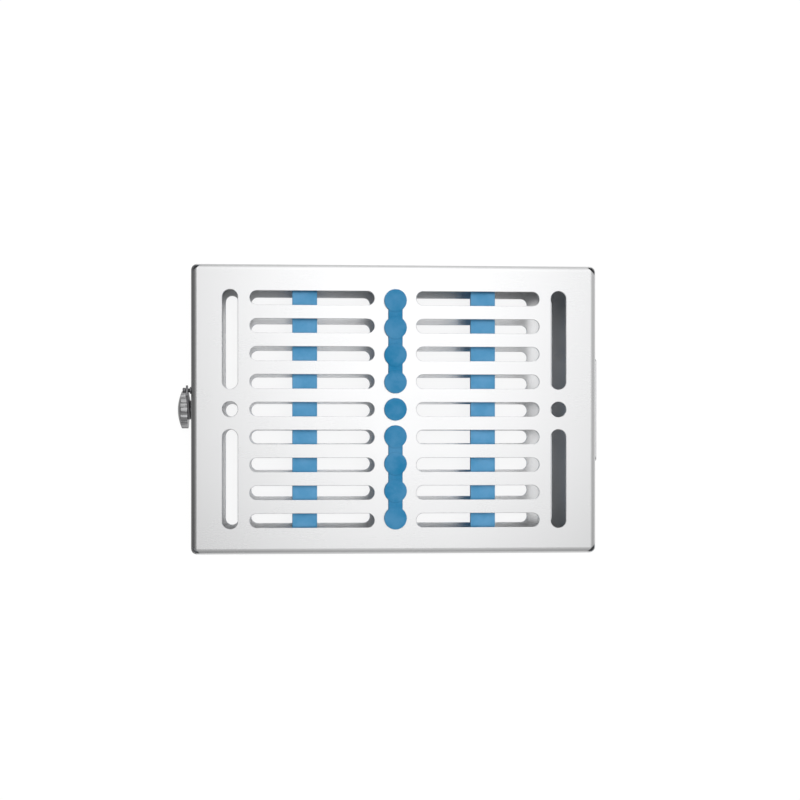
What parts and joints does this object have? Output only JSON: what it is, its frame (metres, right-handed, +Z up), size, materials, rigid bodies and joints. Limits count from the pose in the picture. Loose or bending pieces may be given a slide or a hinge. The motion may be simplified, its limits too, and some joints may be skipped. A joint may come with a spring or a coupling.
{
  "type": "sterilization cassette",
  "caption": "Hinged stainless cassette with slotted lid and base, silicone instrument rails, silicone press beads on the lid's centre line and a turn latch.",
  "frame": {"origin": "middle of the base's underside, on the surface the cassette stands on", "axes": "+Z up, +X towards the hinge, +Y towards the rear long wall; the latch is at -X"},
  "size_m": [0.2101, 0.1422, 0.0358],
  "materials": {
    "sheet_steel": "satin",
    "polished_steel": "polished",
    "blue_silicone": "matte"
  },
  "bodies": {
    "base": {"base_tray": "sheet_steel", "rail_bar_left": "sheet_steel", "rail_bar_right": "sheet_steel", "instrument_rail_left": "blue_silicone", "instrument_rail_right": "blue_silicone", "hinge_leaf_base": "polished_steel", "hinge_pin": "polished_steel", "hinge_rivets_base": "polished_steel", "latch_bush": "polished_steel"},
    "lid": {"lid_shell": "sheet_steel", "press_strip_rear": "blue_silicone", "press_button_centre": "blue_silicone", "press_strip_front": "blue_silicone", "hinge_leaf_lid": "polished_steel", "hinge_rivets_lid": "polished_steel", "catch_pin": "polished_steel"},
    "latch": {"latch_hook": "polished_steel", "latch_knob": "polished_steel", "latch_spring_washer": "polished_steel", "latch_clip": "polished_steel"}
  },
  "joints": [
    {"name": "lid_hinge", "type": "hinge", "parent": "base", "child": "lid", "pos_m": [0.1013, 0, 0.02415], "axis": [0, 1, 0], "range_deg": [0, 180]},
    {"name": "latch_turn", "type": "hinge", "parent": "base", "child": "latch", "pos_m": [-0.1016, 0, 0.012], "axis": [1, 0, 0], "range_deg": [0, 75]}
  ]
}
